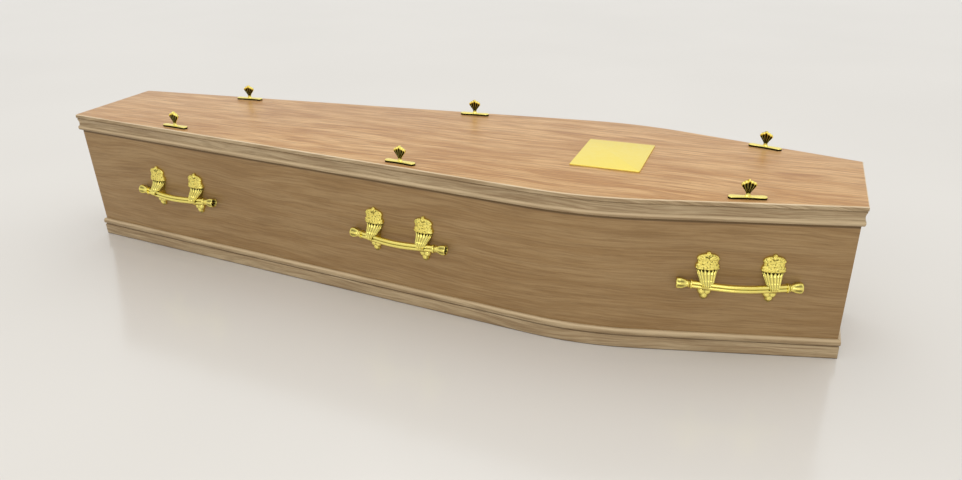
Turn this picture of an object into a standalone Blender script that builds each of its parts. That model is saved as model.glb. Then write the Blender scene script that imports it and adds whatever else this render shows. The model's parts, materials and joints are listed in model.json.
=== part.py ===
"""Shouldered wooden coffin with a moulded lift-off lid, cast brass handles and lid fittings.

Metres, +Z up. The origin is under the middle of the box, on the surface that it stands on.
+X points to the head end, and left is -Y.
"""

import math

import bmesh
import bpy
from mathutils import Matrix, Vector

# Plan of the lid, the shoulder's width being where the straight runs of the sides would meet
LENGTH = 1.900
FOOT_WIDTH = 0.274
SHOULDER_WIDTH = 0.540
HEAD_WIDTH = 0.280
SHOULDER_FROM_HEAD = 0.513
BEND_RADIUS = 0.680
BEND_STEPS = 6

# Boards
HEIGHT = 0.346
WALL = 0.018
BASE_THICKNESS = 0.018
LID_THICKNESS = 0.018
LID_LIP = 0.009
LID_ARRIS = 0.0025
LID_OVERHANG = 0.0075
SIDE_LEAN = 0.024
FIT = 0.0003

# Moulding that hangs from the lid's rim
LID_MOULD_DEPTH = 0.032
LID_OVERLAP = 0.012
LID_CLEARANCE = 0.0010
QUIRK_DEPTH = 0.0030
QUIRK_HEIGHT = 0.0020
LID_BEAD_HEIGHT = 0.0115
LID_BEAD_OUT = 0.0030
COVE_EDGE = 0.0010
COVE_FALL = 0.0025
COVE_SAG = 0.0015
COVE_STEPS = 3
BEAD_STEPS = 4

# Moulding around the foot of the box
BASE_MOULD_THICKNESS = 0.0055
PLAIN_HEIGHT = 0.0285
GROOVE_DEPTH = 0.0025
GROOVE_HEIGHT = 0.0030
BASE_BEAD_HEIGHT = 0.0145
BASE_BEAD_OUT = 0.0035
BASE_BEAD_FALL = 0.0020

# Plate on the lid
PLATE_LENGTH = 0.150
PLATE_WIDTH = 0.190
PLATE_THICKNESS = 0.003
PLATE_ARRIS = 0.0008

# Places of the handles
FOOT_HANDLE_FROM_FOOT = 0.311
MIDDLE_HANDLE_FROM_SHOULDER = 0.425
HEAD_HANDLE_FROM_HEAD = 0.214
HANDLE_RISE = 0.0075

# Bowed handle bar with a bell at each end
BAR_LENGTH = 0.243
BAR_RADIUS = 0.0080
BAR_REED = 0.0030
BAR_STANDOFF = 0.029
BAR_BOW = 0.0170
BOW_REACH = 0.135
BAR_STEPS = 6
BAR_SIDES = 8
BELL_LENGTH = 0.031
COLLAR_RADIUS = 0.0098
BELL_NECK_RADIUS = 0.0066
BELL_RADIUS = 0.0118

# Cast bracket, fluted between its crown and the eye that holds the bar
BRACKET_SPACING = 0.127
BRACKET_RISE = 0.0670
BRACKET_DROP = 0.0410
BRACKET_WIDTH = 0.047
BRACKET_EDGE = 0.0025
CROWN_DEPTH = 0.0125
RIM_UNDERCUT = 0.0030
NECK_WIDTH = 0.022
PENDANT_WIDTH = 0.027
PENDANT_DEPTH = 0.0100
BORE_CLEARANCE = 0.0008
EYE_WALL = 0.0020
BRACKET_STEPS = 10
BRACKET_FLUTE = 0.10
BORE_SIDES = 8

# Places of the lid fittings
FOOT_FITTING_FROM_FOOT = 0.331
MIDDLE_FITTING_FROM_SHOULDER = 0.4145
HEAD_FITTING_FROM_HEAD = 0.2115
FITTING_INSET = 0.0225
FITTING_SHIFT = {"left": -0.0055, "right": 0.0080}

# Lid fitting, a fan standing on a waisted tab
TAB_LENGTH = 0.074
TAB_WIDTH = 0.0150
TAB_WAIST = 0.0115
TAB_THICKNESS = 0.0050
TAB_STEPS = 3
FAN_WIDTH = 0.031
FAN_HEIGHT = 0.036
FAN_THICKNESS = 0.0080
FAN_EDGE = 0.0016
FAN_STEPS = 8
FAN_FLUTE = 0.0011
FAN_SCALLOP = 0.0015

# What follows from the sizes above
HALF_LENGTH = LENGTH / 2
SHOULDER_X = HALF_LENGTH - SHOULDER_FROM_HEAD
SHOULDER_FROM_FOOT = LENGTH - SHOULDER_FROM_HEAD
FOOT_ANGLE = math.atan((SHOULDER_WIDTH - FOOT_WIDTH) / 2 / SHOULDER_FROM_FOOT)
HEAD_ANGLE = math.atan((HEAD_WIDTH - SHOULDER_WIDTH) / 2 / SHOULDER_FROM_HEAD)
LIP_BOTTOM = HEIGHT - LID_LIP
MOULD_BOTTOM = LIP_BOTTOM - LID_MOULD_DEPTH
WALL_TOP = MOULD_BOTTOM + LID_OVERLAP
BASE_MOULD_HEIGHT = PLAIN_HEIGHT + GROOVE_HEIGHT + BASE_BEAD_HEIGHT
RIM_INSIDE = LID_OVERHANG + WALL
LEAN_ANGLE = math.atan(SIDE_LEAN / WALL_TOP)
BRACKET_MIDDLE = (BASE_MOULD_HEIGHT + MOULD_BOTTOM) / 2 + HANDLE_RISE
BAR_HEIGHT = BRACKET_MIDDLE - (BRACKET_RISE - BRACKET_DROP) / 2
BORE_RADIUS = (BAR_RADIUS + BORE_CLEARANCE) / math.cos(math.pi / BORE_SIDES)
HANDLE_PLACES = {
    "foot": (FOOT_HANDLE_FROM_FOOT - HALF_LENGTH, FOOT_ANGLE),
    "middle": (SHOULDER_X - MIDDLE_HANDLE_FROM_SHOULDER, FOOT_ANGLE),
    "head": (HALF_LENGTH - HEAD_HANDLE_FROM_HEAD, HEAD_ANGLE),
}
FITTING_PLACES = {
    "foot": (FOOT_FITTING_FROM_FOOT - HALF_LENGTH, FOOT_ANGLE),
    "middle": (SHOULDER_X - MIDDLE_FITTING_FROM_SHOULDER, FOOT_ANGLE),
    "head": (HALF_LENGTH - HEAD_FITTING_FROM_HEAD, HEAD_ANGLE),
}
SIDES = {"left": -1, "right": 1}
ENDS = {"foot": (-1, FOOT_ANGLE), "head": (1, HEAD_ANGLE)}


def clear_scene():
    """Removes what the scene starts with."""
    for item in list(bpy.data.objects):
        bpy.data.objects.remove(item)


def new_collection(name):
    """Makes a collection in the scene."""
    made = bpy.data.collections.new(name)
    bpy.context.scene.collection.children.link(made)
    return made


def new_material(name, colour, roughness, metallic):
    """Makes a Principled material."""
    made = bpy.data.materials.new(name)
    made.use_nodes = True
    shader = made.node_tree.nodes["Principled BSDF"]
    shader.inputs["Base Color"].default_value = (*colour, 1)
    shader.inputs["Roughness"].default_value = roughness
    shader.inputs["Metallic"].default_value = metallic
    return made


def new_object(name, mesh, material, sharp_angle):
    """Puts a mesh in the coffin's collection, smooth but for its sharp edges."""
    mesh.materials.clear()
    mesh.materials.append(material)
    mesh.shade_smooth()
    mesh.set_sharp_from_angle(angle=math.radians(sharp_angle))
    made = bpy.data.objects.new(name, mesh)
    COFFIN.objects.link(made)
    return made


def loft(name, rings):
    """Makes a mesh with a skin over rings of like count and a cap on the first and the last."""
    shape = bmesh.new()
    loops = [[shape.verts.new(point) for point in ring] for ring in rings]
    count = len(loops[0])
    for low, high in zip(loops, loops[1:]):
        for i in range(count):
            j = (i + 1) % count
            shape.faces.new((low[i], low[j], high[j], high[i]))
    shape.faces.new(list(reversed(loops[0])))
    shape.faces.new(loops[-1])
    bmesh.ops.recalc_face_normals(shape, faces=shape.faces)
    made = bpy.data.meshes.new(name)
    shape.to_mesh(made)
    shape.free()
    return made


def arc_point(angle, inset):
    """Plan point on the shoulder's bend, that far inside the lid's edge."""
    half_turn = (FOOT_ANGLE - HEAD_ANGLE) / 2
    reach = BEND_RADIUS * math.tan(half_turn)
    start = Vector((SHOULDER_X, SHOULDER_WIDTH / 2))
    start -= reach * Vector((math.cos(FOOT_ANGLE), math.sin(FOOT_ANGLE)))
    centre = start + BEND_RADIUS * Vector((math.sin(FOOT_ANGLE), -math.cos(FOOT_ANGLE)))
    return centre + (BEND_RADIUS - inset) * Vector((-math.sin(angle), math.cos(angle)))


def run_point(angle, inset, x):
    """Plan point on a straight run of the side, that far inside the lid's edge."""
    tangent = arc_point(angle, inset)
    return Vector((x, tangent.y + (x - tangent.x) * math.tan(angle)))


def side_line(inset, end_inset):
    """Plan points along the right side from the foot to the head."""
    points = [run_point(FOOT_ANGLE, inset, end_inset - HALF_LENGTH)]
    for step in range(BEND_STEPS + 1):
        angle = FOOT_ANGLE + (HEAD_ANGLE - FOOT_ANGLE) * step / BEND_STEPS
        points.append(arc_point(angle, inset))
    points.append(run_point(HEAD_ANGLE, inset, HALF_LENGTH - end_inset))
    return points


def outline(inset, end_inset, z):
    """Closed ring around the box at one height."""
    right = side_line(inset, end_inset)
    ring = [Vector((point.x, point.y, z)) for point in right]
    ring += [Vector((point.x, -point.y, z)) for point in reversed(right)]
    return ring


def wall_inset(z):
    """Distance of a side's outer face inside the lid's edge at one height."""
    return LID_OVERHANG + SIDE_LEAN * (1 - z / WALL_TOP)


def sweep_side(name, section, side, gap):
    """Runs a section of (side inset, end inset, z) points along one side, cut at both ends."""
    lines = [side_line(inset, end_inset + gap) for inset, end_inset, z in section]
    rings = []
    for station in range(len(lines[0])):
        points = [line[station] for line in lines]
        rings.append([Vector((p.x, side * p.y, part[2])) for p, part in zip(points, section)])
    return loft(name, rings)


def sweep_end(name, section, end, angle):
    """Runs a section of (side inset, end inset, z) points across one end, mitred to the sides."""
    rings = []
    for side in (-1, 1):
        ring = []
        for inset, end_inset, z in section:
            x = end * (HALF_LENGTH - end_inset)
            ring.append(Vector((x, side * run_point(angle, inset, x).y, z)))
        rings.append(ring)
    return loft(name, rings)


def lid_moulding_section():
    """Quirk, cove and bead under the lid's lip, with a rebate over the wall's top edge."""
    top = LIP_BOTTOM - FIT
    cove_top = top - QUIRK_HEIGHT
    bead_top = MOULD_BOTTOM + LID_BEAD_HEIGHT
    bead_edge = COVE_EDGE + COVE_FALL
    points = [(QUIRK_DEPTH, top), (QUIRK_DEPTH, cove_top)]
    for step in range(COVE_STEPS):
        share = step / COVE_STEPS
        inset = COVE_EDGE + COVE_FALL * share + COVE_SAG * math.sin(math.pi * share)
        points.append((inset, cove_top + (bead_top - cove_top) * share))
    for step in range(BEAD_STEPS + 1):
        turn = math.pi * step / BEAD_STEPS
        z = MOULD_BOTTOM + LID_BEAD_HEIGHT * (1 + math.cos(turn)) / 2
        points.append((bead_edge - LID_BEAD_OUT * math.sin(turn), z))
    skirt = LID_OVERHANG - LID_CLEARANCE
    points += [(skirt, MOULD_BOTTOM), (skirt, WALL_TOP + FIT)]
    points += [(RIM_INSIDE, WALL_TOP + FIT), (RIM_INSIDE, top)]
    return [(inset, inset, z) for inset, z in points]


def base_moulding_section():
    """Plain face, groove and bead against the walls, which lean at the sides only."""
    groove_out = BASE_MOULD_THICKNESS - GROOVE_DEPTH
    bead_bottom = PLAIN_HEIGHT + GROOVE_HEIGHT
    points = [(FIT, 0), (BASE_MOULD_THICKNESS, 0), (BASE_MOULD_THICKNESS, PLAIN_HEIGHT)]
    points += [(groove_out, PLAIN_HEIGHT + GROOVE_HEIGHT / 4), (groove_out, bead_bottom)]
    bead_edge = BASE_MOULD_THICKNESS - BASE_BEAD_FALL / 2
    for step in range(BEAD_STEPS + 1):
        turn = math.pi * step / BEAD_STEPS
        fall = BASE_BEAD_FALL * step / BEAD_STEPS
        out = bead_edge - fall + BASE_BEAD_OUT * math.sin(turn)
        points.append((out, bead_bottom + BASE_BEAD_HEIGHT * (1 - math.cos(turn)) / 2))
    points.append((FIT, BASE_MOULD_HEIGHT))
    return [(wall_inset(z) - out, LID_OVERHANG - out, z) for out, z in points]


def make_box():
    """Base, two bent sides and two ends set between them."""
    inside = LID_OVERHANG + WALL + FIT
    rings = [outline(wall_inset(z) + WALL + FIT, inside, z) for z in (0, BASE_THICKNESS)]
    new_object("base_board", loft("base_board", rings), PANEL_WOOD, 30)
    section = []
    for z, depth in ((0, 0), (WALL_TOP, 0), (WALL_TOP, WALL), (0, WALL)):
        section.append((wall_inset(z) + depth, LID_OVERHANG, z))
    for name, side in SIDES.items():
        mesh = sweep_side("side_panel_" + name, section, side, 0)
        new_object("side_panel_" + name, mesh, PANEL_WOOD, 30)
    for name, (end, angle) in ENDS.items():
        rings = []
        for z in (0, WALL_TOP):
            ring = []
            for depth, side in ((0, -1), (0, 1), (WALL, 1), (WALL, -1)):
                x = end * (HALF_LENGTH - LID_OVERHANG - depth)
                y = run_point(angle, wall_inset(z) + WALL + FIT, x).y
                ring.append(Vector((x, side * y, z)))
            rings.append(ring)
        new_object(name + "_panel", loft(name + "_panel", rings), PANEL_WOOD, 30)


def make_lid():
    """Rebated lid board with an eased top edge, and the moulding below its lip."""
    tongue = RIM_INSIDE + FIT
    steps = [(tongue, HEIGHT - LID_THICKNESS), (tongue, LIP_BOTTOM), (0, LIP_BOTTOM)]
    for turn in (0, math.pi / 4, math.pi / 2):
        rounding = LID_ARRIS * (1 - math.cos(turn))
        steps.append((rounding, HEIGHT - LID_ARRIS * (1 - math.sin(turn))))
    rings = [outline(inset, inset, z) for inset, z in steps]
    new_object("lid_board", loft("lid_board", rings), PANEL_WOOD, 40)
    make_mouldings("lid_moulding_", lid_moulding_section())


def make_mouldings(prefix, section):
    """Four lengths of one moulding, mitred at the corners."""
    for name, side in SIDES.items():
        mesh = sweep_side(prefix + name, section, side, FIT)
        new_object(prefix + name, mesh, MOULDING_WOOD, 40)
    for name, (end, angle) in ENDS.items():
        mesh = sweep_end(prefix + name, section, end, angle)
        new_object(prefix + name, mesh, MOULDING_WOOD, 40)


def make_plate():
    """Plain plate on the lid over the shoulder."""
    z = HEIGHT + FIT + PLATE_THICKNESS / 2
    bpy.ops.mesh.primitive_cube_add(size=1, location=(SHOULDER_X, 0, z))
    plate = bpy.context.object
    plate.name = "nameplate"
    plate.scale = (PLATE_LENGTH, PLATE_WIDTH, PLATE_THICKNESS)
    bpy.ops.object.transform_apply(location=False, rotation=False, scale=True)
    plate.data.materials.append(PLATE_METAL)
    bevel = plate.modifiers.new("arris", "BEVEL")
    bevel.width = PLATE_ARRIS
    bevel.segments = 1
    for home in list(plate.users_collection):
        home.objects.unlink(plate)
    COFFIN.objects.link(plate)


def bar_point(u):
    """Centre of the bar in the handle's frame, u along the wall and v out of it."""
    return Vector((u, BAR_STANDOFF - BAR_BOW * math.sin(math.pi * u / 2 / BOW_REACH) ** 2, 0))


def bar_direction(u):
    """Unit direction of the bar at u."""
    slope = -BAR_BOW * math.pi / 2 / BOW_REACH * math.sin(math.pi * u / BOW_REACH)
    return Vector((1, slope, 0)).normalized()


def bar_ring(u, radius, reed):
    """Section of the bar at u, square to it, with a groove along its front and its back."""
    along = bar_direction(u)
    out = Vector((-along.y, along.x, 0))
    ring = []
    for i in range(BAR_SIDES):
        turn = 2 * math.pi * i / BAR_SIDES
        reach = radius - reed * math.cos(turn) ** 4
        offset = out * math.cos(turn) + Vector((0, 0, 1)) * math.sin(turn)
        ring.append(bar_point(u) + reach * offset)
    return ring


def make_bar_mesh():
    """Bowed and reeded bar, with a collar and a bell at each end."""
    shank = BAR_LENGTH / 2 - BELL_LENGTH
    bell = [(0.06, COLLAR_RADIUS), (0.16, BELL_NECK_RADIUS), (0.60, BELL_RADIUS * 0.80)]
    bell += [(0.93, BELL_RADIUS), (1.00, BELL_RADIUS * 0.84)]
    stations = []
    for step in range(BAR_STEPS + 1):
        stations.append((shank * (2 * step / BAR_STEPS - 1), BAR_RADIUS, BAR_REED))
    for share, radius in bell:
        u = shank + BELL_LENGTH * share
        stations.append((u, radius, 0))
        stations.insert(0, (-u, radius, 0))
    return loft("handle_bar", [bar_ring(*station) for station in stations])


def bracket_stations():
    """Height from the bar's centre, half width, depth, flutes and roundness down the bracket."""
    eye = BORE_RADIUS + EYE_WALL
    eye_front = bar_point(BRACKET_SPACING / 2).y + eye
    wide = BRACKET_WIDTH / 2
    neck = NECK_WIDTH / 2
    leaf = PENDANT_WIDTH / 2
    under = CROWN_DEPTH - RIM_UNDERCUT
    cup = eye_front - under
    above = [(1.00, 0.14 * wide, 0.35 * CROWN_DEPTH, 0, 0.8)]
    above += [(0.89, 0.62 * wide, 0.50 * CROWN_DEPTH, 0, 0.8)]
    above += [(0.71, 0.93 * wide, 0.65 * CROWN_DEPTH, 0, 0.7)]
    above += [(0.54, 0.87 * wide, 0.82 * CROWN_DEPTH, 0, 0.6)]
    above += [(0.35, wide, CROWN_DEPTH, 0, 0.5)]
    above += [(0.30, 0.92 * wide, under, BRACKET_FLUTE, 0.6)]
    above += [(0.01, 0.64 * wide, under + 0.68 * cup, BRACKET_FLUTE, 0.9)]
    below = [(0.06, neck, 0.5 * eye_front, 0, 1), (0.36, leaf, PENDANT_DEPTH, 0, 0.7)]
    below += [(0.72, 0.75 * leaf, PENDANT_DEPTH, 0, 0.7)]
    below += [(1.00, 0.20 * leaf, 0.8 * PENDANT_DEPTH, 0, 1)]
    stations = [(eye + share * (BRACKET_RISE - eye), *rest) for share, *rest in above]
    stations += [(0.4 * eye, neck, eye_front, BRACKET_FLUTE / 2, 1)]
    stations += [(-0.8 * eye, neck, eye_front - EYE_WALL, 0, 1)]
    stations += [(-eye - share * (BRACKET_DROP - eye), *rest) for share, *rest in below]
    return stations


def bracket_ring(height, half_width, depth, flute, roundness):
    """Section of the bracket at one height: a flat back, and a fluted swelling front."""
    ring = [Vector((half_width, FIT, height)), Vector((-half_width, FIT, height))]
    for i in range(BRACKET_STEPS + 1):
        turn = math.pi * (i / BRACKET_STEPS - 0.5)
        reach = 1 - flute if i % 2 else 1
        swell = max(math.cos(turn), 0) ** roundness
        v = BRACKET_EDGE + (depth - BRACKET_EDGE) * swell * reach
        ring.append(Vector((half_width * math.sin(turn) * reach, v, height)))
    return ring


def make_bracket_mesh(name, hand):
    """Bracket at one end of the bar, bored along the bar where the bar passes its eye."""
    rings = [bracket_ring(*station) for station in bracket_stations()]
    blank = bpy.data.objects.new(name + "_blank", loft(name, rings))
    CUTTERS.objects.link(blank)
    u = hand * BRACKET_SPACING / 2
    bpy.ops.mesh.primitive_cylinder_add(vertices=BORE_SIDES, radius=BORE_RADIUS, depth=2 * NECK_WIDTH)
    bore = bpy.context.object
    bore.name = name + "_bore"
    bore.matrix_world = Matrix.Translation((0, bar_point(u).y, 0)) @ \
        bar_direction(u).to_track_quat("Z", "Y").to_matrix().to_4x4()
    keep_as_cutter(bore)
    keep_as_cutter(blank)
    return cut_mesh(name, blank, bore, "DIFFERENCE")


def keep_as_cutter(item):
    """Moves an object to the cutters' collection, unseen in a render."""
    for home in list(item.users_collection):
        home.objects.unlink(item)
    CUTTERS.objects.link(item)
    item.hide_render = True
    item.display_type = "WIRE"


def cut_mesh(name, body, tool, operation):
    """Applies one Boolean and gives back the new mesh, where the body stands."""
    boolean = body.modifiers.new("boolean", "BOOLEAN")
    boolean.operation = operation
    boolean.solver = "EXACT"
    boolean.object = tool
    bpy.context.view_layer.update()
    graph = bpy.context.evaluated_depsgraph_get()
    made = bpy.data.meshes.new_from_object(body.evaluated_get(graph))
    made.name = name
    made.transform(body.matrix_world)
    body.modifiers.remove(boolean)
    return made


def wall_frame(x, angle, side):
    """Matrix of a handle: u along the wall, v out of it and the third axis up it."""
    face = run_point(angle, wall_inset(BAR_HEIGHT), x)
    level = Vector((-math.sin(angle), side * math.cos(angle), 0))
    out = level * math.cos(LEAN_ANGLE) - Vector((0, 0, math.sin(LEAN_ANGLE)))
    up = level * math.sin(LEAN_ANGLE) + Vector((0, 0, math.cos(LEAN_ANGLE)))
    turned = Matrix((out.cross(up), out, up)).transposed().to_4x4()
    return Matrix.Translation((face.x, side * face.y, BAR_HEIGHT)) @ turned


def make_handles():
    """Three handles on each side, each a bar held by two brackets."""
    bar_mesh = make_bar_mesh()
    bracket_meshes = {hand: make_bracket_mesh("bracket", hand) for hand in (-1, 1)}
    for side_name, side in SIDES.items():
        for place, (x, angle) in HANDLE_PLACES.items():
            frame = wall_frame(x, angle, side)
            stem = side_name + "_" + place
            bar = new_object("handle_bar_" + stem, bar_mesh, BRASS, 35)
            bar.matrix_world = frame
            for hand, mesh in bracket_meshes.items():
                end = "headward" if hand * side > 0 else "footward"
                bracket = new_object("handle_bracket_" + stem + "_" + end, mesh, BRASS, 35)
                bracket.matrix_world = frame @ Matrix.Translation((hand * BRACKET_SPACING / 2, 0, 0))


def tab_outline():
    """Outline of the fitting's tab, waisted between rounded ends."""
    points = []
    radius = TAB_WIDTH / 2
    for end in (1, -1):
        for step in range(TAB_STEPS + 1):
            turn = math.pi * (step / TAB_STEPS - 0.5)
            reach = TAB_LENGTH / 2 - radius + radius * math.cos(turn)
            points.append((end * reach, end * radius * math.sin(turn)))
        points.append((end * TAB_LENGTH / 4, end * TAB_WAIST / 2))
        points.append((-end * TAB_LENGTH / 4, end * TAB_WAIST / 2))
    return points


def fan_ring(height, half_width, half_depth, flute, crown):
    """Section of the fan: fluted front and back, the height rising by the crown at the middle."""
    front = []
    back = []
    for i in range(FAN_STEPS + 1):
        place = 2 * i / FAN_STEPS - 1
        swell = math.cos(math.pi / 2 * place)
        hollow = flute if i % 2 else 0
        depth = FAN_EDGE / 2 + (half_depth - FAN_EDGE / 2) * swell - hollow * swell
        scallop = 0 if i % 2 or not crown else FAN_SCALLOP
        z = height + crown * swell ** 2 + scallop
        front.append(Vector((half_width * place, -depth, z)))
        back.append(Vector((half_width * place, depth, z)))
    return front + list(reversed(back))


def make_fitting_mesh():
    """Fan on a narrow neck, cast in one with its tab."""
    top = FIT + TAB_THICKNESS
    sink = top - TAB_THICKNESS / 2
    wide = FAN_WIDTH / 2
    deep = FAN_THICKNESS / 2
    crown = 0.22 * FAN_HEIGHT
    rim = top + FAN_HEIGHT - crown - FAN_SCALLOP
    rings = [fan_ring(sink, 0.36 * wide, deep, 0, 0)]
    rings.append(fan_ring(top + 0.17 * FAN_HEIGHT, 0.30 * wide, 0.70 * deep, 0, 0))
    rings.append(fan_ring(top + 0.38 * FAN_HEIGHT, 0.56 * wide, 0.80 * deep, FAN_FLUTE, 0))
    rings.append(fan_ring(top + 0.62 * FAN_HEIGHT, wide, deep, FAN_FLUTE, 0))
    rings.append(fan_ring(rim, 0.86 * wide, 0.60 * deep, FAN_FLUTE / 2, crown))
    fan = bpy.data.objects.new("fan", loft("fan", rings))
    curve = bpy.data.curves.new("tab", "CURVE")
    curve.dimensions = "2D"
    curve.fill_mode = "BOTH"
    curve.extrude = TAB_THICKNESS / 2
    points = tab_outline()
    spline = curve.splines.new("POLY")
    spline.points.add(len(points) - 1)
    for knot, (x, y) in zip(spline.points, points):
        knot.co = (x, y, 0, 1)
    spline.use_cyclic_u = True
    flat = bpy.data.objects.new("tab_curve", curve)
    flat.location.z = FIT + TAB_THICKNESS / 2
    CUTTERS.objects.link(flat)
    tab = as_mesh_object("tab", flat)
    keep_as_cutter(tab)
    keep_as_cutter(fan)
    return cut_mesh("lid_fitting", tab, fan, "UNION")


def as_mesh_object(name, curve_object):
    """Replaces a curve object by a closed mesh object in the same place."""
    bpy.context.view_layer.update()
    graph = bpy.context.evaluated_depsgraph_get()
    mesh = bpy.data.meshes.new_from_object(curve_object.evaluated_get(graph))
    shape = bmesh.new()
    shape.from_mesh(mesh)
    bmesh.ops.remove_doubles(shape, verts=shape.verts, dist=0.00001)
    shape.to_mesh(mesh)
    shape.free()
    made = bpy.data.objects.new(name, mesh)
    COFFIN.objects.link(made)
    made.matrix_world = curve_object.matrix_world
    bpy.data.objects.remove(curve_object)
    return made


def make_fittings():
    """Three fan fittings along each side of the lid's rim."""
    mesh = make_fitting_mesh()
    for side_name, side in SIDES.items():
        for place, (x, angle) in FITTING_PLACES.items():
            seat = run_point(angle, FITTING_INSET, x + FITTING_SHIFT[side_name])
            fitting = new_object("lid_fitting_" + side_name + "_" + place, mesh, BRASS, 35)
            fitting.location = (seat.x, side * seat.y, HEIGHT)
            fitting.rotation_euler = (0, 0, side * angle)


clear_scene()
COFFIN = new_collection("coffin")
CUTTERS = new_collection("cutters")
PANEL_WOOD = new_material("panel_oak", (0.53, 0.34, 0.19), 0.35, 0.0)
MOULDING_WOOD = new_material("moulding_oak", (0.42, 0.32, 0.20), 0.40, 0.0)
BRASS = new_material("polished_brass", (0.86, 0.70, 0.24), 0.25, 1.0)
PLATE_METAL = new_material("plate_brass", (0.93, 0.78, 0.35), 0.35, 1.0)
make_box()
make_lid()
make_mouldings("base_moulding_", base_moulding_section())
make_plate()
make_handles()
make_fittings()
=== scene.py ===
"""Looks of a shouldered wooden coffin: oak veneer, moulded rims and ornate cast brass fittings.

Metres, +Z up, +X to the head end, left is -Y. Sizes here repeat those of the solids.
"""

import json
import math

import bmesh
import bpy
from mathutils import Matrix, Vector, noise
from mathutils.kdtree import KDTree

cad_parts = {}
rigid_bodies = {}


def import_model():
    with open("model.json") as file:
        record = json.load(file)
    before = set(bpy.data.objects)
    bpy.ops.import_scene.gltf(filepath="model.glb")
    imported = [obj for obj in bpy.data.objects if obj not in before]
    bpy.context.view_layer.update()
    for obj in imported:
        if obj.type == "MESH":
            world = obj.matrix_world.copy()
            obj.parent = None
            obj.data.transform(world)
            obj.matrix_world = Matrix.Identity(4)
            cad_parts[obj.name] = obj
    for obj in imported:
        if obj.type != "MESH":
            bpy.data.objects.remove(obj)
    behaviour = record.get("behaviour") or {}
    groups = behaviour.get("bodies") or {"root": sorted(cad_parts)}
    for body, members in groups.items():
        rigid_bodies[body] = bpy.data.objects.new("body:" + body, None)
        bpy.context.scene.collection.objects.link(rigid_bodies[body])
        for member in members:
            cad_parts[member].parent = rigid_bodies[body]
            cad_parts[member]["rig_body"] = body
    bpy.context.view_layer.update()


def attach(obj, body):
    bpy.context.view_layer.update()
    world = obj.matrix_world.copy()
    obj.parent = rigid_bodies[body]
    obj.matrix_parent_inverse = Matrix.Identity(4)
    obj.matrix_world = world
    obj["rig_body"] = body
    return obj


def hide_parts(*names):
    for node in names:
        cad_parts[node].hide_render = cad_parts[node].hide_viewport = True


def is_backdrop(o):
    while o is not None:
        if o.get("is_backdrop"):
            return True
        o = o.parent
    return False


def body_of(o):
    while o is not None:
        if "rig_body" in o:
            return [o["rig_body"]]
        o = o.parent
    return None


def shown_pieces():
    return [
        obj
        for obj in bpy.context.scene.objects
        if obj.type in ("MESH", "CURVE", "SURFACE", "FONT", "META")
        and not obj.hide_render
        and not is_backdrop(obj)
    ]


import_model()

# Plan of the lid
HALF_LENGTH = 0.950
FOOT_WIDTH = 0.274
SHOULDER_WIDTH = 0.540
HEAD_WIDTH = 0.280
SHOULDER_X = HALF_LENGTH - 0.513
BEND_RADIUS = 0.680
BEND_STEPS = 6
FOOT_ANGLE = math.atan((SHOULDER_WIDTH - FOOT_WIDTH) / 2 / (HALF_LENGTH + SHOULDER_X))
HEAD_ANGLE = math.atan((HEAD_WIDTH - SHOULDER_WIDTH) / 2 / (HALF_LENGTH - SHOULDER_X))

# Boards
HEIGHT = 0.346
WALL = 0.018
BASE_THICKNESS = 0.018
LID_THICKNESS = 0.018
LIP_BOTTOM = HEIGHT - 0.009
LID_ARRIS = 0.0025
OVERHANG = 0.0075
SIDE_LEAN = 0.024
FIT = 0.0003
MOULD_BOTTOM = LIP_BOTTOM - 0.032
WALL_TOP = MOULD_BOTTOM + 0.012
RIM_INSIDE = OVERHANG + WALL
LEAN_ANGLE = math.atan(SIDE_LEAN / WALL_TOP)

# Mouldings under the lid's lip and around the foot of the box
RIM_BEAD = 0.0115
BASE_MOULD = 0.0055
PLAIN_HEIGHT = 0.0285
GROOVE_HEIGHT = 0.0030
BASE_BEAD = 0.0145
BASE_MOULD_HEIGHT = PLAIN_HEIGHT + GROOVE_HEIGHT + BASE_BEAD
RIM_SHADE = 0.0050

# Handles
BRACKET_SPACING = 0.127
BRACKET_RISE = 0.0670
BRACKET_DROP = 0.0410
BRACKET_WIDTH = 0.047
BRACKET_EDGE = 0.0025
CROWN_DEPTH = 0.0125
RIM_UNDERCUT = 0.0030
NECK_WIDTH = 0.022
PENDANT_WIDTH = 0.027
PENDANT_DEPTH = 0.0100
BAR_LENGTH = 0.243
BAR_RADIUS = 0.0080
BAR_STANDOFF = 0.029
BAR_BOW = 0.0170
BOW_REACH = 0.135
BELL_LENGTH = 0.031
EYE_REACH = 0.0115
BORE_RADIUS = 0.0090
GROOVE_TURN = 0.30
LOBE_RADIUS = 0.0056
BAR_HEIGHT = (BASE_MOULD_HEIGHT + MOULD_BOTTOM) / 2 + 0.0075 - (BRACKET_RISE - BRACKET_DROP) / 2
SIDES = {"left": -1, "right": 1}
ENDS = {"foot": (-1, FOOT_ANGLE), "head": (1, HEAD_ANGLE)}
HANDLE_PLACES = {
    "foot": (0.311 - HALF_LENGTH, FOOT_ANGLE),
    "middle": (SHOULDER_X - 0.425, FOOT_ANGLE),
    "head": (HALF_LENGTH - 0.214, HEAD_ANGLE),
}

# Plate and fittings of the lid
PLATE_LENGTH = 0.150
PLATE_WIDTH = 0.190
PLATE_THICKNESS = 0.003
FITTING_INSET = 0.0225
FITTING_SHIFT = {"left": -0.0055, "right": 0.0080}
TAB_LENGTH = 0.074
TAB_WIDTH = 0.0150
TAB_WAIST = 0.0115
TAB_THICKNESS = 0.0050
FAN_THICKNESS = 0.0080
FITTING_PLACES = {
    "foot": (0.331 - HALF_LENGTH, FOOT_ANGLE),
    "middle": (SHOULDER_X - 0.4145, FOOT_ANGLE),
    "head": (HALF_LENGTH - 0.2115, HEAD_ANGLE),
}

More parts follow.
